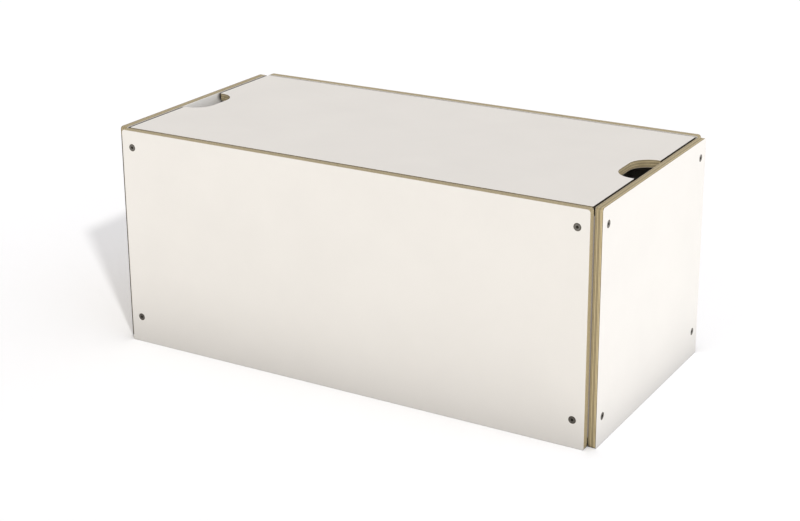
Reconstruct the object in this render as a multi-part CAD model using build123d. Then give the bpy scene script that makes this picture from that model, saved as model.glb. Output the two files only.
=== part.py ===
"""Wooden toy box with a lift-off lid.

Frame: millimetres, +Z up, +X along the long side, front towards -Y.
The origin is on the ground, under the centre of the box.

Construction: four laminated plywood walls are bolted to a square post inside
each corner. The long walls stop at the end walls' inner planes and the end
walls stop at the long walls' inner planes, so the walls meet only along one
vertical line at each corner and every board shows its layered edges. The lid
drops in between the walls and rests on the posts. The floor board lies under
the posts and is tied to the walls by battens.
"""
from build123d import *
import os

# ---------------------------------------------------------------- dimensions
LENGTH = 1000.0          # outside, along X
DEPTH = 500.0            # outside, along Y
HEIGHT = 430.0           # walls and closed lid, along Z

BOARD_T = 15.0           # laminated plywood
TOP_CORNER_R = 5.5       # rounding of each wall's two upper corners, in its plane
LOW_CORNER_R = 2.0       # rounding of its two lower corners
FLOOR_CORNER_R = 4.0
BOARD_EDGE_R = 0.5       # broken arris along every board edge
CORNER_GAP = 1.0         # each wall stops this far short of its neighbour's plane

LID_GAP = 5.0            # between the lid and the walls, all round
LID_CORNER_R = 3.0

NOTCH_WIDTH = 120.0      # finger notch, along the lid's short edge
NOTCH_DEPTH = 48.0       # from the end wall's inner face
NOTCH_R = 40.0           # rounding of the notch's two inner corners
NOTCH_LIP_R = 1.2        # rounding of the two tips at the notch's mouth

FLOOR_RAISE = 3.0        # floor board's underside above the ground
FLOOR_GAP = 2.0          # between the floor board and the walls, all round

POST = 44.0              # square corner post
POST_CORNER_R = 2.0
POST_END_R = 0.6

BOLT_FROM_TOP = 33.0     # wall bolts: below the walls' top edge
BOLT_FROM_GROUND = 51.5  # wall bolts: above the ground
LONG_WALL_BOLT_IN = 23.5 # wall bolts: in from the end walls' inner planes
END_WALL_BOLT_IN = 25.0  # wall bolts: in from the long walls' inner planes

# M6 x 30 countersunk bolt with a hexagon socket, and the screw-in sleeve it fits
BOLT_R = 3.0
BOLT_LENGTH = 30.0
BOLT_HEAD_R = 6.7
BOLT_HEAD_RIM = 0.35
BOLT_RECESS = 0.3        # head below the board's face
BOLT_SOCKET_AF = 4.0
BOLT_SOCKET_DEPTH = 2.4
COUNTERSINK_R = 7.4      # at the board's face, 90 degree cone
BOLT_HOLE_R = 3.3

SLEEVE_R = 5.0
SLEEVE_LENGTH = 13.0
SLEEVE_BORE_R = 3.05
SLEEVE_HOLE_DEPTH = 13.5
BOLT_RUNOUT_R = 3.4
BOLT_RUNOUT_DEPTH = 16.0

# floor battens
BATTEN = 20.0            # square section
BATTEN_END_GAP = 2.0     # between a batten's end and the post
BATTEN_EDGE_R = 1.2

# 4 x 30 countersunk wood screws in the battens
SCREW_R = 2.0
SCREW_HEAD_R = 4.0
SCREW_LENGTH = 30.0
LONG_BATTEN_WALL_SCREWS = (-360.0, 0.0, 360.0)
LONG_BATTEN_FLOOR_SCREWS = (-180.0, 180.0)
END_BATTEN_WALL_SCREWS = (-120.0, 120.0)
END_BATTEN_FLOOR_SCREWS = (0.0,)

# 5 x 40 countersunk wood screws up through the floor into the posts
POST_SCREW_R = 2.5
POST_SCREW_HEAD_R = 5.0
POST_SCREW_LENGTH = 40.0

FIT = 0.05               # radial clearance round every fastener
SCREW_SINK = 0.3         # screw heads below the wood's face

# ------------------------------------------------------------------- derived
X_IN = LENGTH / 2 - BOARD_T          # end walls' inner planes
Y_IN = DEPTH / 2 - BOARD_T           # long walls' inner planes
LONG_WALL = 2 * (X_IN - CORNER_GAP)
END_WALL = 2 * (Y_IN - CORNER_GAP)
LID_X = 2 * (X_IN - LID_GAP)
LID_Y = 2 * (Y_IN - LID_GAP)
FLOOR_X = 2 * (X_IN - FLOOR_GAP)
FLOOR_Y = 2 * (Y_IN - FLOOR_GAP)
LID_Z = HEIGHT - BOARD_T             # lid's underside, and the posts' tops
FLOOR_TOP = FLOOR_RAISE + BOARD_T
BOLT_Z = (BOLT_FROM_GROUND, HEIGHT - BOLT_FROM_TOP)
BOLT_X = X_IN - LONG_WALL_BOLT_IN
BOLT_Y = Y_IN - END_WALL_BOLT_IN
POST_X = X_IN - POST / 2
POST_Y = Y_IN - POST / 2
CORNERS = {
    "front_left": (-1, -1),
    "front_right": (1, -1),
    "back_left": (-1, 1),
    "back_right": (1, 1),
}


# ------------------------------------------------------------------- helpers
def solid_of(shape):
    """The single solid inside a result of boolean work."""
    solids = shape.solids()
    assert len(solids) == 1, len(solids)
    return solids[0]


def slab(width, height, thickness, top_r, low_r, edge_r):
    """A board lying on XY, centred, rising from Z = 0 to its thickness.
    top_r rounds its two corners at +Y, low_r its two corners at -Y."""
    outline = Rectangle(width, height)
    outline = fillet(outline.vertices().sort_by(Axis.Y)[-2:], top_r)
    outline = fillet(outline.vertices().sort_by(Axis.Y)[:2], low_r)
    body = extrude(outline, amount=thickness)
    faces = body.faces().sort_by(Axis.Z)
    return fillet(faces[0].edges() + faces[-1].edges(), edge_r)


def turned(points):
    """A solid of revolution about Z from (radius, height) points."""
    profile = make_face(Polyline([(r, 0, z) for r, z in points], close=True))
    return revolve(profile, Axis.Z)


def bolt():
    """Countersunk socket bolt, its head's top at Z = 0, its shank along -Z."""
    seat = COUNTERSINK_R - BOLT_RECESS - FIT        # cone radius at the head's top
    rim_z = -(seat - BOLT_HEAD_R)
    neck_z = -(seat - BOLT_R)
    body = turned([
        (0, 0), (BOLT_HEAD_R - 0.25, 0), (BOLT_HEAD_R, -0.15),
        (BOLT_HEAD_R, rim_z), (BOLT_R, neck_z),
        (BOLT_R, -BOLT_LENGTH + 0.7), (BOLT_R - 0.7, -BOLT_LENGTH), (0, -BOLT_LENGTH),
    ])
    socket_r = BOLT_SOCKET_AF / 3 ** 0.5
    socket = extrude(RegularPolygon(socket_r, 6), amount=-BOLT_SOCKET_DEPTH)
    tip = turned([(0, -BOLT_SOCKET_DEPTH), (BOLT_SOCKET_AF / 2, -BOLT_SOCKET_DEPTH),
                  (0, -BOLT_SOCKET_DEPTH - 1.0)])
    lead = turned([(0, 0), (socket_r + 0.25, 0), (0, -(socket_r + 0.25) * 0.55)])
    return solid_of(body - socket - tip - lead)


def bolt_cut(depth):
    """Clearance hole and countersink for the bolt, face at Z = 0, along -Z."""
    cone = turned([(0, 0), (COUNTERSINK_R, 0), (BOLT_HOLE_R, -(COUNTERSINK_R - BOLT_HOLE_R)),
                   (0, -(COUNTERSINK_R - BOLT_HOLE_R))])
    hole = Pos(0, 0, -depth / 2) * Cylinder(BOLT_HOLE_R, depth)
    over = Pos(0, 0, 0.5) * Cylinder(COUNTERSINK_R, 1.0)
    return cone + hole + over


def wood_screw(shank_r, head_r, length):
    """Countersunk wood screw with a cross recess, head's top at Z = 0."""
    body = turned([
        (0, 0), (head_r - 0.15, 0), (head_r, -0.15), (head_r, -0.3),
        (shank_r, -0.3 - (head_r - shank_r)),
        (shank_r, -length + 2.2 * shank_r), (0.25, -length), (0, -length),
    ])
    arm = head_r * 1.15
    cross = Pos(0, 0, -head_r * 0.3) * (Box(arm, head_r * 0.26, head_r * 0.6)
                                        + Box(head_r * 0.26, arm, head_r * 0.6))
    return solid_of(body - cross)


def screw_cut(shank_r, head_r, length):
    """The hole that the wood screw leaves, face at Z = 0, along -Z."""
    r = shank_r + FIT
    top = head_r + FIT
    sink = SCREW_SINK + 0.3
    return turned([
        (0, 1.0), (top, 1.0), (top, -sink), (r, -sink - (top - r)),
        (r, -SCREW_SINK - length + 2.2 * shank_r), (0.35, -SCREW_SINK - length - 0.3),
        (0, -SCREW_SINK - length - 0.3),
    ])


def group(solids):
    return Compound(children=[s if isinstance(s, Solid) else solid_of(s) for s in solids])


# Placing planes: local Z is each wall's outward normal, local Y is up.
WALLS = {
    "front": Plane(origin=(0, -Y_IN, HEIGHT / 2), x_dir=(1, 0, 0), z_dir=(0, -1, 0)),
    "back": Plane(origin=(0, Y_IN, HEIGHT / 2), x_dir=(-1, 0, 0), z_dir=(0, 1, 0)),
    "left": Plane(origin=(-X_IN, 0, HEIGHT / 2), x_dir=(0, -1, 0), z_dir=(-1, 0, 0)),
    "right": Plane(origin=(X_IN, 0, HEIGHT / 2), x_dir=(0, 1, 0), z_dir=(1, 0, 0)),
}
WALL_BOLTS = {
    side: [(sx * (BOLT_X if side in ("front", "back") else BOLT_Y), z - HEIGHT / 2)
           for sx in (-1, 1) for z in BOLT_Z]
    for side in WALLS
}

# Battens: (wall side, length, wall screws, floor screws); local frame of the wall.
BATTENS = {
    "front": (2 * (X_IN - POST - BATTEN_END_GAP), LONG_BATTEN_WALL_SCREWS, LONG_BATTEN_FLOOR_SCREWS),
    "back": (2 * (X_IN - POST - BATTEN_END_GAP), LONG_BATTEN_WALL_SCREWS, LONG_BATTEN_FLOOR_SCREWS),
    "left": (2 * (Y_IN - POST - BATTEN_END_GAP), END_BATTEN_WALL_SCREWS, END_BATTEN_FLOOR_SCREWS),
    "right": (2 * (Y_IN - POST - BATTEN_END_GAP), END_BATTEN_WALL_SCREWS, END_BATTEN_FLOOR_SCREWS),
}
BATTEN_MID_Z = FLOOR_TOP + BATTEN / 2


def batten_wall_screw_plane(side, along):
    """Plane at a batten's inner face; local Z points into the box, out of the head."""
    p = WALLS[side]
    o = p.from_local_coords(Vector(along, BATTEN_MID_Z - HEIGHT / 2, -BATTEN))
    return Plane(origin=o, x_dir=p.x_dir, z_dir=-p.z_dir)


def batten_floor_screw_plane(side, along):
    """Plane at a batten's top face; local Z points up, out of the head."""
    p = WALLS[side]
    o = p.from_local_coords(Vector(along, FLOOR_TOP + BATTEN - HEIGHT / 2, -BATTEN / 2))
    return Plane(origin=o, x_dir=p.x_dir, z_dir=(0, 0, 1))


# --------------------------------------------------------------------- walls
def wall(side):
    p = WALLS[side]
    width = LONG_WALL if side in ("front", "back") else END_WALL
    board = p * slab(width, HEIGHT, BOARD_T, TOP_CORNER_R, LOW_CORNER_R, BOARD_EDGE_R)
    for u, v in WALL_BOLTS[side]:
        board -= p * Pos(u, v, BOARD_T) * bolt_cut(BOARD_T)
    for along in BATTENS[side][1]:
        board -= batten_wall_screw_plane(side, along) * screw_cut(SCREW_R, SCREW_HEAD_R, SCREW_LENGTH)
    return solid_of(board)


def wall_bolts(side):
    p = WALLS[side]
    return group([p * Pos(u, v, BOARD_T - BOLT_RECESS) * bolt() for u, v in WALL_BOLTS[side]])


# --------------------------------------------------------------------- posts
def post(sx, sy):
    """Square post with sleeve holes from both walls and a screw hole below."""
    height = LID_Z - FLOOR_TOP
    body = Box(POST, POST, height)
    body = fillet(body.edges().filter_by(Axis.Z), POST_CORNER_R)
    ends = body.faces().sort_by(Axis.Z)
    body = fillet(ends[0].edges() + ends[-1].edges(), POST_END_R)
    body = Pos(sx * POST_X, sy * POST_Y, FLOOR_TOP + height / 2) * body
    for plane in sleeve_planes(sx, sy):
        body -= plane * Pos(0, 0, -SLEEVE_HOLE_DEPTH / 2) * Cylinder(SLEEVE_R + FIT, SLEEVE_HOLE_DEPTH)
        body -= plane * Pos(0, 0, -BOLT_RUNOUT_DEPTH / 2) * Cylinder(BOLT_RUNOUT_R, BOLT_RUNOUT_DEPTH)
    body -= post_screw_plane(sx, sy) * screw_cut(POST_SCREW_R, POST_SCREW_HEAD_R, POST_SCREW_LENGTH)
    return solid_of(body)


def sleeve_planes(sx, sy):
    """Four planes on the post's outer faces; local Z points out of the wood."""
    out = []
    for z in BOLT_Z:
        out.append(Plane(origin=(sx * BOLT_X, sy * Y_IN, z), x_dir=(1, 0, 0), z_dir=(0, sy, 0)))
        out.append(Plane(origin=(sx * X_IN, sy * BOLT_Y, z), x_dir=(0, 1, 0), z_dir=(sx, 0, 0)))
    return out


def post_screw_plane(sx, sy):
    """Plane on the floor board's underside; local Z points down, out of the head."""
    return Plane(origin=(sx * POST_X, sy * POST_Y, FLOOR_RAISE), x_dir=(1, 0, 0), z_dir=(0, 0, -1))


def sleeve():
    """Screw-in sleeve, mouth at Z = 0, along -Z, with its coarse outer ridges."""
    length = SLEEVE_LENGTH
    points = [(SLEEVE_BORE_R + 0.4, 0), (SLEEVE_R - 0.9, 0)]
    z = -0.6
    while z > -length + 2.4:
        points += [(SLEEVE_R - 0.9, z), (SLEEVE_R, z - 0.7), (SLEEVE_R - 0.9, z - 1.4)]
        z -= 1.8
    points += [(SLEEVE_R - 0.9, -length + 0.5), (SLEEVE_R - 1.3, -length),
               (SLEEVE_BORE_R + 0.3, -length), (SLEEVE_BORE_R, -length + 0.4),
               (SLEEVE_BORE_R, -0.4)]
    return solid_of(turned(points))


def post_sleeves(sx, sy):
    return group([plane * sleeve() for plane in sleeve_planes(sx, sy)])


# --------------------------------------------------------------------- floor
def floor_panel():
    board = Pos(0, 0, FLOOR_RAISE) * slab(FLOOR_X, FLOOR_Y, BOARD_T, FLOOR_CORNER_R, FLOOR_CORNER_R, BOARD_EDGE_R)
    for sx, sy in CORNERS.values():
        board -= post_screw_plane(sx, sy) * screw_cut(POST_SCREW_R, POST_SCREW_HEAD_R, POST_SCREW_LENGTH)
    for side, (_, _, floor_screws) in BATTENS.items():
        for along in floor_screws:
            board -= batten_floor_screw_plane(side, along) * screw_cut(SCREW_R, SCREW_HEAD_R, SCREW_LENGTH)
    return solid_of(board)


def floor_post_screws():
    return group([post_screw_plane(sx, sy) * Pos(0, 0, -SCREW_SINK)
                  * wood_screw(POST_SCREW_R, POST_SCREW_HEAD_R, POST_SCREW_LENGTH)
                  for sx, sy in CORNERS.values()])


def floor_batten(side):
    length, wall_screws, floor_screws = BATTENS[side]
    p = WALLS[side]
    body = Box(length, BATTEN, BATTEN)
    body = fillet(body.edges(), BATTEN_EDGE_R)
    body = p * Pos(0, BATTEN_MID_Z - HEIGHT / 2, -BATTEN / 2) * body
    for along in wall_screws:
        body -= batten_wall_screw_plane(side, along) * screw_cut(SCREW_R, SCREW_HEAD_R, SCREW_LENGTH)
    for along in floor_screws:
        body -= batten_floor_screw_plane(side, along) * screw_cut(SCREW_R, SCREW_HEAD_R, SCREW_LENGTH)
    return solid_of(body)


def batten_screws(side):
    _, wall_screws, floor_screws = BATTENS[side]
    planes = [batten_wall_screw_plane(side, a) for a in wall_screws]
    planes += [batten_floor_screw_plane(side, a) for a in floor_screws]
    return group([p * Pos(0, 0, -SCREW_SINK) * wood_screw(SCREW_R, SCREW_HEAD_R, SCREW_LENGTH)
                  for p in planes])


# ----------------------------------------------------------------------- lid
def lid():
    """Board with a rounded finger notch in the middle of each short edge."""
    outline = RectangleRounded(LID_X, LID_Y, LID_CORNER_R)
    half = NOTCH_WIDTH / 2
    for s in (-1, 1):
        bottom = X_IN - NOTCH_DEPTH
        centre = bottom + NOTCH_R
        cut = (
            Pos(s * (centre + 40.0), 0) * Rectangle(80.0, NOTCH_WIDTH)
            + Pos(s * (bottom + 30.0), 0) * Rectangle(60.0, 2 * (half - NOTCH_R))
            + Pos(s * centre, half - NOTCH_R) * Circle(NOTCH_R)
            + Pos(s * centre, -(half - NOTCH_R)) * Circle(NOTCH_R)
        )
        outline -= cut
    tips = [v for v in outline.vertices()
            if abs(abs(v.Y) - half) < 0.01 and abs(abs(v.X) - LID_X / 2) < 0.01]
    assert len(tips) == 4, len(tips)
    outline = fillet(tips, NOTCH_LIP_R)
    body = Pos(0, 0, LID_Z) * extrude(outline, amount=BOARD_T)
    faces = body.faces().sort_by(Axis.Z)
    body = fillet(faces[0].edges() + faces[-1].edges(), BOARD_EDGE_R)
    return solid_of(body)


# ---------------------------------------------------------------------- write
nodes = {"lid": lid(), "floor_panel": floor_panel(), "floor_post_screws": floor_post_screws()}
for side, name in (("front", "front_panel"), ("back", "back_panel"),
                   ("left", "left_end_panel"), ("right", "right_end_panel")):
    nodes[name] = wall(side)
    nodes[f"{side}_panel_bolts"] = wall_bolts(side)
    nodes[f"{side}_floor_batten"] = floor_batten(side)
    nodes[f"{side}_batten_screws"] = batten_screws(side)
for corner, (sx, sy) in CORNERS.items():
    nodes[f"{corner}_post"] = post(sx, sy)
    nodes[f"{corner}_post_sleeves"] = post_sleeves(sx, sy)

os.makedirs("parts", exist_ok=True)
for name, shape in nodes.items():
    export_step(shape, f"parts/{name}.step")
print(len(nodes), "nodes written")
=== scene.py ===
import math

import bmesh
import bpy
from mathutils import Matrix, Vector


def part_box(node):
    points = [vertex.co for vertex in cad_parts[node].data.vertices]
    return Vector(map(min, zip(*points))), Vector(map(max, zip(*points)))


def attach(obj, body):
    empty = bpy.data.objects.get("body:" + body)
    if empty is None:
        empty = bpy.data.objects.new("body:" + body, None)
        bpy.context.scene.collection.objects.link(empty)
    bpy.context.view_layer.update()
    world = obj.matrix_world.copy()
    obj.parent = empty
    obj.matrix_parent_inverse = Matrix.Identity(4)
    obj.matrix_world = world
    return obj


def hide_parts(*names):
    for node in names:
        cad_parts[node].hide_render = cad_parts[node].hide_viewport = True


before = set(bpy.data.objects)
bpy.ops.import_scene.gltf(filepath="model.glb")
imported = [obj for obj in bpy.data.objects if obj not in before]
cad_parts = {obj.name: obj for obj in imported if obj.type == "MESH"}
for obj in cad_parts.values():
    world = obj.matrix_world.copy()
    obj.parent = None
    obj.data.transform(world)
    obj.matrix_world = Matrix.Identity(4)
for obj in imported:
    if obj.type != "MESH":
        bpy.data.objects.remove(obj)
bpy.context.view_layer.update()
scene = bpy.context.scene
scene.view_settings.view_transform = "Standard"

MM = 0.001
BOARD_T = 15.0
ARRIS = 0.5
TOP_CORNER_R = 5.5
LOW_CORNER_R = 2.0
FLOOR_CORNER_R = 4.0
LID_CORNER_R = 3.0

# the box's own planes, in millimetres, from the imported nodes
lo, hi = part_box("left_end_panel")
X_IN = -hi.x / MM
lo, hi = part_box("front_panel")
Y_IN = -hi.y / MM
HEIGHT = hi.z / MM
lid_lo, lid_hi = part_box("lid")
floor_lo, floor_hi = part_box("floor_panel")


# ------------------------------------------------------------------ mesh tools
def arc(cx, cy, r, a0, a1, steps, inside=False):
    """Points (x, y, nx, ny) along an arc, with the outline's outward normal."""
    out = []
    for k in range(steps + 1):
        a = math.radians(a0 + (a1 - a0) * k / steps)
        c, s = math.cos(a), math.sin(a)
        out.append((cx + r * c, cy + r * s, -c if inside else c, -s if inside else s))
    return out


def rounded(w, h, high, low, steps=14):
    """Counter-clockwise outline of a rectangle about the origin, its two upper
    corners rounded by high and its two lower ones by low."""
    x, y = w / 2 - high, h / 2 - high
    xl, yl = w / 2 - low, h / 2 - low
    return (arc(x, y, high, 0, 90, steps) + arc(-x, y, high, 90, 180, steps)
            + arc(-xl, -yl, low, 180, 270, steps) + arc(xl, -yl, low, 270, 360, steps))


def lid_outline(w, h, r, bottom, half, big, lip):
    """Rounded rectangle with a rounded notch in each short edge."""
    x, y = w / 2 - r, h / 2 - r
    right = (
        arc(w / 2 - lip, -half - lip, lip, 0, 90, 8)
        + arc(bottom + big, -half + big, big, 270, 180, 40, inside=True)
        + arc(bottom + big, half - big, big, 180, 90, 40, inside=True)
        + arc(w / 2 - lip, half + lip, lip, 270, 360, 8)
    )
    left = [(-px, -py, -nx, -ny) for px, py, nx, ny in right]
    return (arc(x, y, r, 0, 90, 14) + arc(-x, y, r, 90, 180, 14) + left
            + arc(-x, -y, r, 180, 270, 14) + arc(x, -y, r, 270, 360, 14) + right)


def circle(bm, place, cx, cy, r, w, n):
    return [bm.verts.new(place(cx + r * math.cos(2 * math.pi * k / n),
                               cy + r * math.sin(2 * math.pi * k / n), w)) for k in range(n)]


def bridge(bm, a, b):
    n = len(a)
    for i in range(n):
        j = (i + 1) % n
        bm.faces.new((a[i], b[i], b[j], a[j]))


def fill(bm, loops, normal):
    """One flat face with holes, filled with triangles between closed loops."""
    edges = []
    for loop in loops:
        for i in range(len(loop)):
            a, b = loop[i], loop[(i + 1) % len(loop)]
            edges.append(bm.edges.get((a, b)) or bm.edges.new((a, b)))
    bmesh.ops.triangle_fill(bm, use_beauty=True, use_dissolve=False, edges=edges, normal=normal)


def finish_mesh(name, bm, sharp=32.0, weighted=True):
    bmesh.ops.recalc_face_normals(bm, faces=bm.faces)
    mesh = bpy.data.meshes.new(name)
    bm.to_mesh(mesh)
    bm.free()
    mesh.polygons.foreach_set("use_smooth", [True] * len(mesh.polygons))
    mesh.set_sharp_from_angle(angle=math.radians(sharp))
    mesh.update()
    obj = bpy.data.objects.new(name, mesh)
    scene.collection.objects.link(obj)
    if weighted:
        mod = obj.modifiers.new("face_normals", "WEIGHTED_NORMAL")
        mod.mode = "FACE_AREA"
        mod.weight = 80
        mod.keep_sharp = True
    return obj


def slab(name, outline, t, place, normal, outer=(), inner=(), through=()):
    """A board: outline in its own plane, w from 0 (inner face) to t (outer face).
    outer and inner are blind holes [(cx, cy, [(r, depth), ...], n)], through are
    holes [(cx, cy, [(r, w), ...], n)] given from the outer face to the inner."""
    bm = bmesh.new()
    steps = 5
    profile = []
    for k in range(steps + 1):
        a = math.pi / 2 * k / steps
        profile.append((ARRIS * (1 - math.sin(a)), t - ARRIS * (1 - math.cos(a))))
    for k in range(steps + 1):
        a = math.pi / 2 * k / steps
        profile.append((ARRIS * (1 - math.cos(a)), ARRIS * (1 - math.sin(a))))
    rings = []
    for d, w in profile:
        rings.append([bm.verts.new(place(x - d * nx, y - d * ny, w)) for x, y, nx, ny in outline])
    for a, b in zip(rings, rings[1:]):
        bridge(bm, a, b)
    top, bottom = [rings[0]], [rings[-1]]
    for cx, cy, steps_rw, n in through:
        hole = [circle(bm, place, cx, cy, r, w, n) for r, w in steps_rw]
        for a, b in zip(hole, hole[1:]):
            bridge(bm, b, a)
        top.append(hole[0])
        bottom.append(hole[-1])
    for group, caps, face in ((outer, top, t), (inner, bottom, 0.0)):
        sign = -1 if face else 1
        for cx, cy, steps_rd, n in group:
            hole = [circle(bm, place, cx, cy, r, face + sign * d, n) for r, d in steps_rd]
            for a, b in zip(hole, hole[1:]):
                bridge(bm, b, a)
            bm.faces.new(hole[-1])
            caps.append(hole[0])
    fill(bm, top, normal)
    fill(bm, bottom, -normal)
    return finish_mesh(name, bm)


def placer(origin, u, v, w):
    """Maps a board's own millimetres to the row frame's metres."""
    origin, u, v, w = Vector(origin), Vector(u), Vector(v), Vector(w)
    return lambda a, b, c: (origin + u * a + v * b + w * c) * MM


# ----------------------------------------------------------------- the boards
BOLT_Z = (51.5, HEIGHT - 33.0)
BOLT_X = X_IN - 23.5
BOLT_Y = Y_IN - 25.0
BOLT_SEAT = [(7.52, BOARD_T), (7.43, BOARD_T - 0.05), (7.4, BOARD_T - 0.13),
             (3.3, BOARD_T - 4.15), (3.3, 0.12), (3.42, 0.0)]
SCREW_MOUTH = [(2.15, 0.0), (2.05, 0.1), (2.05, 6.0), (0.35, 10.6)]

walls = {
    "front_panel": ((0, -Y_IN, HEIGHT / 2), (1, 0, 0), (0, 0, 1), (0, -1, 0)),
    "back_panel": ((0, Y_IN, HEIGHT / 2), (-1, 0, 0), (0, 0, 1), (0, 1, 0)),
    "left_end_panel": ((-X_IN, 0, HEIGHT / 2), (0, -1, 0), (0, 0, 1), (-1, 0, 0)),
    "right_end_panel": ((X_IN, 0, HEIGHT / 2), (0, 1, 0), (0, 0, 1), (1, 0, 0)),
}
boards = {}
for node, (origin, u, v, w) in walls.items():
    nlo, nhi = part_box(node)
    size = nhi - nlo
    long_wall = node in ("front_panel", "back_panel")
    width = (size.x if long_wall else size.y) / MM
    bx = BOLT_X if long_wall else BOLT_Y
    place = placer(origin, u, v, w)
    through = [(s * bx, z - HEIGHT / 2, BOLT_SEAT, 64) for s in (-1, 1) for z in BOLT_Z]
    screws = (-360.0, 0.0, 360.0) if long_wall else (-120.0, 120.0)
    inner = [(a, 28.0 - HEIGHT / 2, SCREW_MOUTH, 24) for a in screws]
    boards[node] = slab(f"{node}_board", rounded(width, HEIGHT, TOP_CORNER_R, LOW_CORNER_R), BOARD_T, place,
                        Vector(w), inner=inner, through=through)

lid_size = (lid_hi - lid_lo) / MM
boards["lid"] = slab(
    "lid_board",
    lid_outline(lid_size.x, lid_size.y, LID_CORNER_R, X_IN - 48.0, 60.0, 40.0, 1.2),
    BOARD_T, placer((0, 0, lid_lo.z / MM), (1, 0, 0), (0, 1, 0), (0, 0, 1)), Vector((0, 0, 1)))

floor_size = (floor_hi - floor_lo) / MM
floor_z = floor_lo.z / MM
post_xy = [(sx * (X_IN - 22.0), sy * (Y_IN - 22.0)) for sx in (-1, 1) for sy in (-1, 1)]
# under the floor: u is turned over so that the board's outer face looks down
floor_place = placer((0, 0, floor_z + BOARD_T), (1, 0, 0), (0, -1, 0), (0, 0, -1))
floor_through = [(x, -y, [(5.1, BOARD_T), (5.05, BOARD_T - 0.1), (5.05, BOARD_T - 0.6), (2.55, BOARD_T - 3.1),
                          (2.55, 0.1), (2.65, 0.0)], 32) for x, y in post_xy]
floor_inner = [(x, s * (Y_IN - 10.0), SCREW_MOUTH, 24) for x in (-180.0, 180.0) for s in (-1, 1)]
floor_inner += [(s * (X_IN - 10.0), 0.0, SCREW_MOUTH, 24) for s in (-1, 1)]
boards["floor_panel"] = slab(
    "floor_panel_board", rounded(floor_size.x, floor_size.y, FLOOR_CORNER_R, FLOOR_CORNER_R), BOARD_T, floor_place,
    Vector((0, 0, -1)), inner=floor_inner, through=floor_through)


# ------------------------------------------------------------------ the bolts
def bolt_into(bm, place, n=60):
    """Countersunk bolt with a hexagon socket; its head's top at w = 0."""
    def ring(r, w):
        return circle(bm, place, 0, 0, r, w, n)

    def hexring(af, w):
        pts = []
        for k in range(n):
            a = 2 * math.pi * k / n
            rho = af / 2 / math.cos((a % (math.pi / 3)) - math.pi / 6)
            pts.append(bm.verts.new(place(rho * math.cos(a), rho * math.sin(a), w)))
        return pts

    head = [(6.45, 0.0), (6.57, -0.03), (6.66, -0.1), (6.7, -0.2), (6.7, -0.31),
            (6.66, -0.4), (3.12, -3.93), (3.0, -4.12), (3.0, -29.3), (2.3, -30.0)]
    rings = [ring(r, w) for r, w in head]
    inner = [ring(3.1, 0.0), ring(2.62, 0.0), ring(2.46, -0.06), hexring(4.0, -0.32),
             hexring(4.0, -0.6), hexring(3.98, -2.2), ring(1.9, -2.42), ring(1.0, -2.9)]
    bridge(bm, inner[0], rings[0])
    for seq in (rings,):
        for a, b in zip(seq, seq[1:]):
            bridge(bm, a, b)
    for a, b in zip(inner, inner[1:]):
        bridge(bm, b, a)
    bm.faces.new(rings[-1])
    bm.faces.new(inner[-1])


bolts = {}
for side, node in (("front", "front_panel"), ("back", "back_panel"),
                   ("left", "left_end_panel"), ("right", "right_end_panel")):
    origin, u, v, w = walls[node]
    bx = BOLT_X if side in ("front", "back") else BOLT_Y
    bm = bmesh.new()
    turn = {("front", 0): 14, ("front", 1): 47, ("front", 2): 31, ("front", 3): 3}
    for k, (s, z) in enumerate([(s, z) for s in (-1, 1) for z in BOLT_Z]):
        a = math.radians(turn.get((side, k), (k * 37 + len(side) * 11) % 60))
        c, sn = math.cos(a), math.sin(a)
        uu, vv, ww = Vector(u), Vector(v), Vector(w)
        o = Vector(origin) + uu * (s * bx) + vv * (z - HEIGHT / 2) + ww * (BOARD_T - 0.3)
        bolt_into(bm, placer(o, uu * c + vv * sn, vv * c - uu * sn, ww))
    bolts[side] = finish_mesh(f"{side}_bolts", bm, sharp=38.0)


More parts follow.
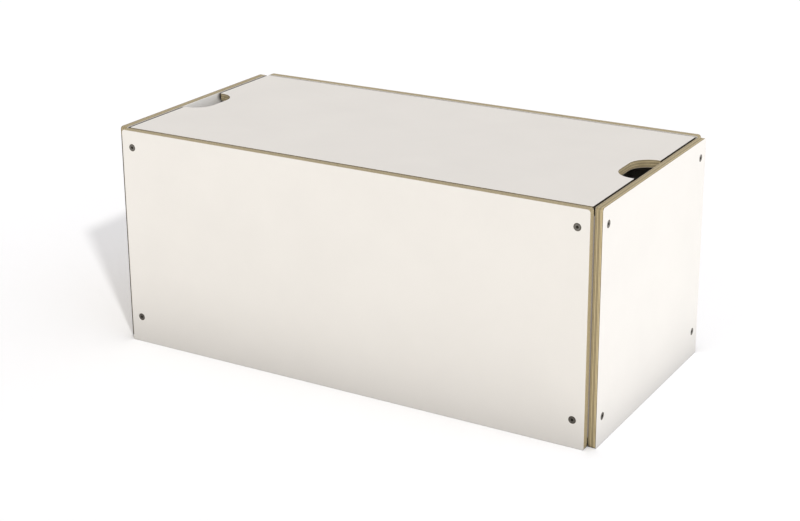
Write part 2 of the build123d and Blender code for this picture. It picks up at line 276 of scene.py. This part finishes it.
# ------------------------------------------------------------------ materials
class Nodes:
    """Short names for building a node tree."""

    def __init__(self, name):
        self.mat = bpy.data.materials.new(name)
        self.mat.use_nodes = True
        self.tree = self.mat.node_tree
        self.tree.nodes.clear()
        self.out = self.tree.nodes.new("ShaderNodeOutputMaterial")
        self.bsdf = self.tree.nodes.new("ShaderNodeBsdfPrincipled")
        self.link(self.bsdf.outputs[0], self.out.inputs["Surface"])

    def link(self, a, b):
        self.tree.links.new(a, b)

    def put(self, socket, value):
        if isinstance(value, bpy.types.NodeSocket):
            self.link(value, socket)
        else:
            socket.default_value = value

    def math(self, op, a, b=0.0, c=0.0, clamp=False):
        n = self.tree.nodes.new("ShaderNodeMath")
        n.operation = op
        n.use_clamp = clamp
        self.put(n.inputs[0], a)
        self.put(n.inputs[1], b)
        self.put(n.inputs[2], c)
        return n.outputs[0]

    def vmath(self, op, a, b=(0, 0, 0)):
        n = self.tree.nodes.new("ShaderNodeVectorMath")
        n.operation = op
        self.put(n.inputs[0], a)
        self.put(n.inputs[1], b)
        return n.outputs["Value" if op in ("DOT_PRODUCT", "LENGTH") else "Vector"]

    def coords(self, which="Object"):
        n = self.tree.nodes.new("ShaderNodeTexCoord")
        return n.outputs[which]

    def split(self, v):
        n = self.tree.nodes.new("ShaderNodeSeparateXYZ")
        self.put(n.inputs[0], v)
        return n.outputs[0], n.outputs[1], n.outputs[2]

    def noise(self, v, scale, detail=2.0, rough=0.5, distortion=0.0):
        n = self.tree.nodes.new("ShaderNodeTexNoise")
        n.noise_dimensions = "3D"
        self.put(n.inputs["Vector"], v)
        n.inputs["Scale"].default_value = scale
        n.inputs["Detail"].default_value = detail
        n.inputs["Roughness"].default_value = rough
        n.inputs["Distortion"].default_value = distortion
        return n.outputs["Fac"]

    def white(self, value):
        n = self.tree.nodes.new("ShaderNodeTexWhiteNoise")
        n.noise_dimensions = "1D"
        self.put(n.inputs["W"], value)
        return n.outputs["Value"]

    def ramp(self, fac, stops, mode="LINEAR"):
        n = self.tree.nodes.new("ShaderNodeValToRGB")
        n.color_ramp.interpolation = mode
        els = n.color_ramp.elements
        while len(els) < len(stops):
            els.new(0.5)
        for e, (p, c) in zip(els, stops):
            e.position = p
            e.color = (*c, 1.0) if len(c) == 3 else c
        self.put(n.inputs[0], fac)
        return n.outputs[0]

    def mix(self, fac, a, b, kind="MIX"):
        n = self.tree.nodes.new("ShaderNodeMix")
        n.data_type = "RGBA"
        n.blend_type = kind
        self.put(n.inputs["Factor"], fac)
        self.put(n.inputs[6], a if isinstance(a, bpy.types.NodeSocket) else (*a, 1.0))
        self.put(n.inputs[7], b if isinstance(b, bpy.types.NodeSocket) else (*b, 1.0))
        return n.outputs[2]

    def lerp(self, fac, a, b):
        n = self.tree.nodes.new("ShaderNodeMix")
        n.data_type = "FLOAT"
        self.put(n.inputs["Factor"], fac)
        self.put(n.inputs[2], a)
        self.put(n.inputs[3], b)
        return n.outputs[0]

    def smooth(self, value, lo, hi):
        n = self.tree.nodes.new("ShaderNodeMapRange")
        n.interpolation_type = "SMOOTHSTEP"
        self.put(n.inputs["Value"], value)
        n.inputs["From Min"].default_value = lo
        n.inputs["From Max"].default_value = hi
        return n.outputs["Result"]

    def open_sky(self, distance, samples=8):
        """1 on open faces, falling towards 0 in narrow gaps and sockets."""
        n = self.tree.nodes.new("ShaderNodeAmbientOcclusion")
        n.samples = samples
        n.inputs["Distance"].default_value = distance
        return n.outputs["AO"]

    def bump(self, height, strength, distance, normal=None):
        n = self.tree.nodes.new("ShaderNodeBump")
        n.inputs["Strength"].default_value = strength
        n.inputs["Distance"].default_value = distance
        self.put(n.inputs["Height"], height)
        if normal is not None:
            self.link(normal, n.inputs["Normal"])
        return n.outputs["Normal"]


LAMINATE = (0.745, 0.713, 0.662)
PLY_LIGHT = (0.535, 0.44, 0.262)
PLY_PALE = (0.44, 0.356, 0.203)
PLY_END = (0.282, 0.222, 0.115)
PLY_END_DARK = (0.20, 0.152, 0.074)
PLIES = 11
LAMINATE_T = 0.5
# how light each ply is, from the outer face to the inner one
PLY_TONES = {
    "front_panel": (0.78, 1.08, 1.10, 0.84, 0.80, 1.02, 1.08, 0.86, 0.90, 1.00, 0.86),
    "back_panel": (0.78, 1.04, 1.10, 0.84, 0.80, 1.06, 1.08, 0.86, 0.98, 1.04, 0.80),
    # the left end panel's two outer plies are set darker than on the other boards: painted shade for its shaded front
    # edge
    "left_end_panel": (0.52, 0.80, 1.04, 1.08, 0.82, 0.78, 1.08, 1.04, 0.80, 0.96, 0.82),
    "right_end_panel": (0.72, 1.28, 1.30, 1.08, 0.76, 0.70, 1.06, 1.16, 0.98, 0.78, 0.86),
    "lid": (0.72, 0.74, 1.16, 1.12, 0.72, 0.76, 1.14, 1.12, 0.74, 0.80, 1.02),
    "floor_panel": (0.82, 1.04, 1.06, 0.84, 0.80, 1.04, 1.06, 0.84, 0.82, 1.02, 0.80),
}


def board_material(name, axis, face, long_axis, tones):
    """White laminate on both faces, bare birch plies on every edge and in every hole.
    axis is the thickness direction (0, 1, 2), face the outer face's place in metres."""
    m = Nodes(name)
    co = m.coords("Object")
    xyz = m.split(co)
    t = m.math("MULTIPLY", m.math("ABSOLUTE", m.math("SUBTRACT", xyz[axis], face)), 1000.0)
    near = m.math("MINIMUM", t, m.math("SUBTRACT", BOARD_T, t))
    wobble = m.math("MULTIPLY", m.math("SUBTRACT", m.noise(co, 5.0, 1.0), 0.5), 0.22)
    ply_t = (BOARD_T - 2 * LAMINATE_T) / PLIES
    inside = m.math("DIVIDE", m.math("SUBTRACT", m.math("ADD", t, wobble), LAMINATE_T), ply_t)
    index = m.math("FLOOR", inside)
    frac = m.math("FRACT", inside)
    odd = m.math("MODULO", m.math("ADD", index, 20.0), 2.0)
    # how far each ply is cut across its grain on this surface
    nx = [m.math("ABSOLUTE", c) for c in m.split(m.coords("Normal"))]
    short_axis = ({0, 1, 2} - {axis, long_axis}).pop()
    cut = m.lerp(odd, nx[long_axis], nx[short_axis])
    # fibres: stretched along the long axis in even plies, along the short one in odd plies
    along = [900.0, 900.0, 900.0]
    along[long_axis] = 22.0
    across = [900.0, 900.0, 900.0]
    across[short_axis] = 22.0
    fibre_even = m.noise(m.vmath("MULTIPLY", co, tuple(along)), 1.0, 4.0, 0.62)
    fibre_odd = m.noise(m.vmath("MULTIPLY", co, tuple(across)), 1.0, 4.0, 0.62)
    fibre = m.lerp(odd, fibre_even, fibre_odd)
    wide_even = m.noise(m.vmath("MULTIPLY", co, tuple(a / 7 for a in along)), 1.0, 3.0)
    wide_odd = m.noise(m.vmath("MULTIPLY", co, tuple(a / 7 for a in across)), 1.0, 3.0)
    wide = m.lerp(odd, wide_even, wide_odd)
    stops = [(k / PLIES, (v * 0.5,) * 3) for k, v in enumerate(tones)]
    tone = m.ramp(m.math("DIVIDE", inside, float(PLIES)), stops, "CONSTANT")
    grain = m.math("ADD", m.math("MULTIPLY", fibre, 0.6), m.math("MULTIPLY", wide, 0.4))
    side_wood = m.ramp(grain, [(0.26, PLY_PALE), (0.52, PLY_LIGHT), (0.78, (0.60, 0.502, 0.31))])
    end_wood = m.ramp(grain, [(0.26, PLY_END_DARK), (0.50, PLY_END), (0.78, (0.35, 0.28, 0.152))])
    wood = m.mix(m.smooth(cut, 0.25, 0.85), side_wood, end_wood)
    wood = m.vmath("MULTIPLY", wood, m.vmath("ADD", tone, tone))
    if name.startswith("left"):
        # painted shade: the outer plies of the upright edges go near black below the top corner, standing in for the
        # shadow there
        left_edge_painted_shade = m.math("MULTIPLY", nx[1], m.math("SUBTRACT", 1.0, m.smooth(t, 2.6, 4.2)))
        left_edge_painted_shade = m.math("MULTIPLY", left_edge_painted_shade, m.math("SUBTRACT", 1.0, m.smooth(xyz[2], (HEIGHT - 26.0) * MM, (HEIGHT - 14.0) * MM)))
        wood = m.mix(m.math("MULTIPLY", left_edge_painted_shade, 0.85), wood, (0.060, 0.050, 0.044))
    line = m.math("MULTIPLY", m.math("MINIMUM", frac, m.math("SUBTRACT", 1.0, frac)), ply_t)
    glue = m.math("SUBTRACT", 1.0, m.smooth(line, 0.02, 0.13))
    wood = m.mix(m.math("MULTIPLY", glue, 0.62), wood, (0.10, 0.065, 0.035))
    # laminate, very slightly uneven in tone
    cloud = m.noise(co, 9.0, 4.0, 0.55)
    fine = m.noise(co, 2600.0, 2.0, 0.6)
    tint = m.ramp(cloud, [(0.30, tuple(c * 0.985 for c in LAMINATE)), (0.70, tuple(c * 1.012 for c in LAMINATE))])
    is_wood = m.smooth(near, LAMINATE_T - 0.04, LAMINATE_T + 0.04)
    # painted shade from an ambient-occlusion test: deepest in the thin gap at the lid's two ends, faint where boards
    # meet
    open_sky = m.open_sky(0.015, 16)
    faint_painted_shade = m.ramp(open_sky, [(0.12, (0.05, 0.045, 0.04)), (0.36, (0.42, 0.39, 0.35)), (0.54, (1.0, 1.0, 1.0))])
    deep_painted_shade = m.ramp(open_sky, [(0.15, (0.02, 0.017, 0.015)), (0.42, (0.05, 0.043, 0.036)), (0.60, (0.22, 0.19, 0.16)),
                             (0.85, (1.0, 1.0, 1.0))])
    # on the lid the deep painted shade falls on the x-facing edges, mostly in their top 3 mm
    if axis == 2:
        in_gap = m.math("MULTIPLY", nx[0], m.math("SUBTRACT", 1.0, m.math("MULTIPLY", m.smooth(t, 2.2, 3.2), 0.85)))
        in_gap = m.math("ADD", m.math("MULTIPLY", in_gap, 0.9), 0.08)
    else:
        # on the walls the deep painted shade falls on the x-facing laminate near the top
        in_gap = m.math("MULTIPLY", m.smooth(xyz[2], (HEIGHT - 18.0) * MM, (HEIGHT - 15.0) * MM),
                        m.math("MULTIPLY", m.math("SUBTRACT", 1.0, is_wood), m.math("MULTIPLY", nx[0], 0.7)))
    shade = m.mix(in_gap, faint_painted_shade, deep_painted_shade)
    # the floor panel's edges keep only a little of the painted shade
    if name.startswith("floor"):
        shade = m.mix(0.85, shade, (1.0, 1.0, 1.0))
    m.link(m.mix(1.0, m.mix(is_wood, tint, wood), shade, "MULTIPLY"), m.bsdf.inputs["Base Color"])
    smudge = m.noise(co, 5.0, 3.0, 0.6)
    lam_rough = m.math("ADD", m.math("MULTIPLY", smudge, 0.10), 0.64)
    wood_rough = m.math("ADD", m.math("MULTIPLY", fibre, 0.22), 0.50)
    m.link(m.lerp(is_wood, lam_rough, wood_rough), m.bsdf.inputs["Roughness"])
    m.bsdf.inputs["IOR"].default_value = 1.46
    pearl = m.math("ADD", m.math("MULTIPLY", fine, 0.10), m.math("MULTIPLY", m.noise(co, 420.0, 2.0), 0.05))
    rough_wood = m.math("SUBTRACT", m.math("MULTIPLY", fibre, 1.0), m.math("MULTIPLY", glue, 0.5))
    height = m.lerp(is_wood, pearl, rough_wood)
    m.link(m.bump(height, 0.55, 0.00012), m.bsdf.inputs["Normal"])
    return m.mat


def steel_material(name, colour, rough, heads=None):
    """Plated steel: fine turning marks, faint blotches in colour and gloss, painted shade in narrow gaps and sockets.
    heads = (axis, place) tells where along x or y the bolt heads sit, to paint shade on their rims and centres."""
    m = Nodes(name)
    co = m.coords("Object")
    blotch = m.noise(co, 260.0, 4.0, 0.6)
    fine = m.noise(co, 2400.0, 3.0, 0.65)
    plate = m.ramp(blotch, [(0.25, tuple(c * 0.80 for c in colour)), (0.5, colour),
                            (0.78, tuple(min(1.0, c * 1.16) for c in colour))])
    # painted shade: darker where an ambient-occlusion test finds narrow gaps and sockets
    shade = m.ramp(m.open_sky(0.004), [(0.15, (0.10, 0.09, 0.08)), (0.9, (1.0, 1.0, 1.0))])
    plate = m.mix(1.0, plate, shade, "MULTIPLY")
    if heads:
        xyz = m.split(co)
        du = m.math("SUBTRACT", m.math("ABSOLUTE", xyz[heads[0]]), heads[1] * MM)
        dz = m.math("MINIMUM", *[m.math("ABSOLUTE", m.math("SUBTRACT", xyz[2], z * MM)) for z in BOLT_Z])
        r = m.math("SQRT", m.math("ADD", m.math("MULTIPLY", du, du), m.math("MULTIPLY", dz, dz)))
        # painted shade: a darker ring at each head's rim and a darker centre round its socket
        rim_painted_shade = m.smooth(r, 0.0050, 0.0062)
        plate = m.mix(rim_painted_shade, plate, m.mix(1.0, plate, (0.62, 0.60, 0.56), "MULTIPLY"))
        socket_painted_shade = m.smooth(r, 0.0032, 0.0024)
        plate = m.mix(socket_painted_shade, plate, m.mix(1.0, plate, (0.55, 0.52, 0.47), "MULTIPLY"))
    m.link(plate, m.bsdf.inputs["Base Color"])
    m.bsdf.inputs["Metallic"].default_value = 1.0
    m.link(m.math("ADD", m.math("MULTIPLY", fine, 0.16), rough - 0.08), m.bsdf.inputs["Roughness"])
    m.link(m.bump(fine, 0.4, 0.00004), m.bsdf.inputs["Normal"])
    return m.mat


def post_material():
    """Solid wood under a thin grey paint: the grain shows as low relief."""
    m = Nodes("painted_post")
    co = m.coords("Object")
    grain = m.noise(m.vmath("MULTIPLY", co, (420.0, 420.0, 9.0)), 1.0, 4.0, 0.6)
    wide = m.noise(m.vmath("MULTIPLY", co, (70.0, 70.0, 2.5)), 1.0, 3.0, 0.5)
    both = m.math("ADD", m.math("MULTIPLY", grain, 0.6), m.math("MULTIPLY", wide, 0.4))
    m.link(m.ramp(both, [(0.32, (0.205, 0.180, 0.166)), (0.55, (0.240, 0.212, 0.195)), (0.75, (0.262, 0.234, 0.215))]),
           m.bsdf.inputs["Base Color"])
    m.link(m.math("ADD", m.math("MULTIPLY", grain, 0.15), 0.42), m.bsdf.inputs["Roughness"])
    m.link(m.bump(both, 0.5, 0.0002), m.bsdf.inputs["Normal"])
    return m.mat


def batten_material(name, along):
    """Planed light wood with its grain along one axis, darker on its end grain."""
    m = Nodes(name)
    co = m.coords("Object")
    s = [520.0, 520.0, 520.0]
    s[along] = 7.0
    fibre = m.noise(m.vmath("MULTIPLY", co, tuple(s)), 1.0, 4.0, 0.62, 0.2)
    w = [90.0, 90.0, 90.0]
    w[along] = 1.8
    rings = m.noise(m.vmath("MULTIPLY", co, tuple(w)), 1.0, 3.0, 0.5, 0.6)
    g = m.math("ADD", m.math("MULTIPLY", fibre, 0.45), m.math("MULTIPLY", rings, 0.55))
    colour = m.ramp(g, [(0.30, (0.36, 0.235, 0.12)), (0.46, (0.52, 0.37, 0.20)),
                        (0.58, (0.60, 0.45, 0.26)), (0.74, (0.66, 0.51, 0.32))])
    n = [m.math("ABSOLUTE", c) for c in m.split(m.coords("Normal"))]
    colour = m.mix(m.math("MULTIPLY", m.smooth(n[along], 0.4, 0.9), 0.5), colour, (0.25, 0.16, 0.08))
    m.link(colour, m.bsdf.inputs["Base Color"])
    m.link(m.math("ADD", m.math("MULTIPLY", fibre, 0.2), 0.45), m.bsdf.inputs["Roughness"])
    m.link(m.bump(fibre, 0.5, 0.00018), m.bsdf.inputs["Normal"])
    return m.mat


def dress(obj, mat):
    obj.data.materials.clear()
    obj.data.materials.append(mat)


board_spec = {
    "front_panel": (1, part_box("front_panel")[0].y, 0),
    "back_panel": (1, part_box("back_panel")[1].y, 0),
    "left_end_panel": (0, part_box("left_end_panel")[0].x, 1),
    "right_end_panel": (0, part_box("right_end_panel")[1].x, 1),
    "lid": (2, lid_hi.z, 0),
    "floor_panel": (2, floor_lo.z, 0),
}
for node, (axis, face, long_axis) in board_spec.items():
    obj = boards[node]
    dress(obj, board_material(f"{node}_laminated_ply", axis, face, long_axis, PLY_TONES[node]))
    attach(obj, "lid" if node == "lid" else "box")
    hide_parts(node)

DULL = (0.185, 0.175, 0.158)
bolt_long = steel_material("bolt_steel_dull_long", DULL, 0.42, (0, BOLT_X))
bolt_end = steel_material("bolt_steel_dull_end", DULL, 0.42, (1, BOLT_Y))
for side, obj in bolts.items():
    dress(obj, bolt_long if side in ("front", "back") else bolt_end)
    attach(obj, "box")
    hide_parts(f"{side}_panel_bolts")

post_mat = post_material()
sleeve_mat = steel_material("sleeve_yellow_zinc", (0.62, 0.50, 0.26), 0.38)
screw_mat = steel_material("screw_bright_zinc", (0.62, 0.61, 0.57), 0.32)
batten_x = batten_material("batten_wood_x", 0)
batten_y = batten_material("batten_wood_y", 1)
for name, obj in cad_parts.items():
    if name.endswith("_post"):
        dress(obj, post_mat)
    elif name.endswith("_sleeves"):
        dress(obj, sleeve_mat)
    elif name.endswith("_screws"):
        dress(obj, screw_mat)
    elif name.endswith("_batten"):
        dress(obj, batten_x if name.startswith(("front", "back")) else batten_y)

# ------------------------------------------------------- floor, light, camera
fl = bpy.data.meshes.new("studio_floor")
fl.from_pydata([(-30, -30, 0), (30, -30, 0), (30, 30, 0), (-30, 30, 0)], [], [(0, 1, 2, 3)])
floor = bpy.data.objects.new("studio_floor", fl)
scene.collection.objects.link(floor)
m = Nodes("studio_floor_pale")
co = m.coords("Object")
paper = m.noise(co, 3.0, 3.0)
fx, fy, _ = m.split(co)
# painted shade: for bounced light only, the floor is dark near the box, which darkens the lower parts of its walls;
# the camera sees the floor evenly pale
away_x = m.math("MAXIMUM", m.math("SUBTRACT", m.math("ABSOLUTE", fx), 0.5), 0.0)
away_y = m.math("MAXIMUM", m.math("SUBTRACT", m.math("ABSOLUTE", fy), 0.25), 0.0)
away = m.math("SQRT", m.math("ADD", m.math("MULTIPLY", away_x, away_x), m.math("MULTIPLY", away_y, away_y)))
away_from_painted_shade = m.smooth(away, 0.07, 0.20)
beside = m.math("GREATER_THAN", fx, 0.5)
away_from_painted_shade = m.lerp(beside, away_from_painted_shade, m.smooth(away, 0.02, 0.13))
lp = m.tree.nodes.new("ShaderNodeLightPath")
seen = m.ramp(paper, [(0.3, (0.995, 0.993, 0.988)), (0.7, (1.0, 0.998, 0.993))])
bounced_with_painted_shade = m.mix(away_from_painted_shade, (0.24, 0.225, 0.21), (1.0, 0.985, 0.95))
m.link(m.mix(lp.outputs["Is Camera Ray"], bounced_with_painted_shade, seen), m.bsdf.inputs["Base Color"])
m.bsdf.inputs["Roughness"].default_value = 0.9
m.bsdf.inputs["Specular IOR Level"].default_value = 0.0
dress(floor, m.mat)

world = bpy.data.worlds.new("studio")
scene.world = world
world.use_nodes = True
wt = world.node_tree
wt.nodes.clear()
wout = wt.nodes.new("ShaderNodeOutputWorld")
bg = wt.nodes.new("ShaderNodeBackground")
wt.links.new(bg.outputs[0], wout.inputs[0])
tc = wt.nodes.new("ShaderNodeTexCoord")
sep = wt.nodes.new("ShaderNodeSeparateXYZ")
wt.links.new(tc.outputs["Generated"], sep.inputs[0])
wr = wt.nodes.new("ShaderNodeValToRGB")
wt.links.new(sep.outputs[2], wr.inputs[0])
wr.color_ramp.elements[0].position = 0.0
wr.color_ramp.elements[0].color = (1.0, 0.995, 0.98, 1.0)
wr.color_ramp.elements[1].position = 0.9
wr.color_ramp.elements[1].color = (0.568, 0.541, 0.527, 1.0)
side = wt.nodes.new("ShaderNodeMapRange")
side.inputs["From Min"].default_value = 0.0
side.inputs["From Max"].default_value = 1.0
side.inputs["To Min"].default_value = 0.0
side.inputs["To Max"].default_value = 1.0
wt.links.new(sep.outputs[0], side.inputs["Value"])
fill_mix = wt.nodes.new("ShaderNodeMix")
fill_mix.data_type = "RGBA"
fill_mix.blend_type = "ADD"
wt.links.new(side.outputs["Result"], fill_mix.inputs["Factor"])
wt.links.new(wr.outputs[0], fill_mix.inputs[6])
fill_mix.inputs[7].default_value = (0.42, 0.50, 0.65, 1.0)
wt.links.new(fill_mix.outputs[2], bg.inputs[0])
bg.inputs[1].default_value = 1.0

sun_data = bpy.data.lights.new("key", "SUN")
sun_data.energy = 1.45
sun_data.angle = math.radians(3.0)
sun = bpy.data.objects.new("key", sun_data)
scene.collection.objects.link(sun)
az, el = math.radians(-41.5), math.radians(33.2)
toward = Vector((math.cos(el) * math.cos(az), math.cos(el) * math.sin(az), math.sin(el)))
sun.rotation_mode = "QUATERNION"
sun.rotation_quaternion = toward.to_track_quat("Z", "Y")
sun.location = toward * 5

cam_data = bpy.data.cameras.new("camera")
cam = bpy.data.objects.new("camera", cam_data)
scene.collection.objects.link(cam)
scene.camera = cam
YAW, PITCH, ROLL = (math.radians(a) for a in (30.531, 17.806, -0.395))
cy, sy, cp, sp = math.cos(YAW), math.sin(YAW), math.cos(PITCH), math.sin(PITCH)
fwd = Vector((-sy * cp, cy * cp, -sp))
right = Vector((cy, sy, 0.0))
up = right.cross(fwd)
r2 = right * math.cos(ROLL) + up * math.sin(ROLL)
u2 = up * math.cos(ROLL) - right * math.sin(ROLL)
rot = Matrix((r2, u2, -fwd)).transposed()
cam.matrix_world = Matrix.Translation((1.50928, -2.59277, 1.29795)) @ rot.to_4x4()
cam_data.sensor_width = 36.0
cam_data.lens = 1662.4 / 800 * 36.0
cam_data.shift_y = -0.10
cam_data.clip_end = 100.0
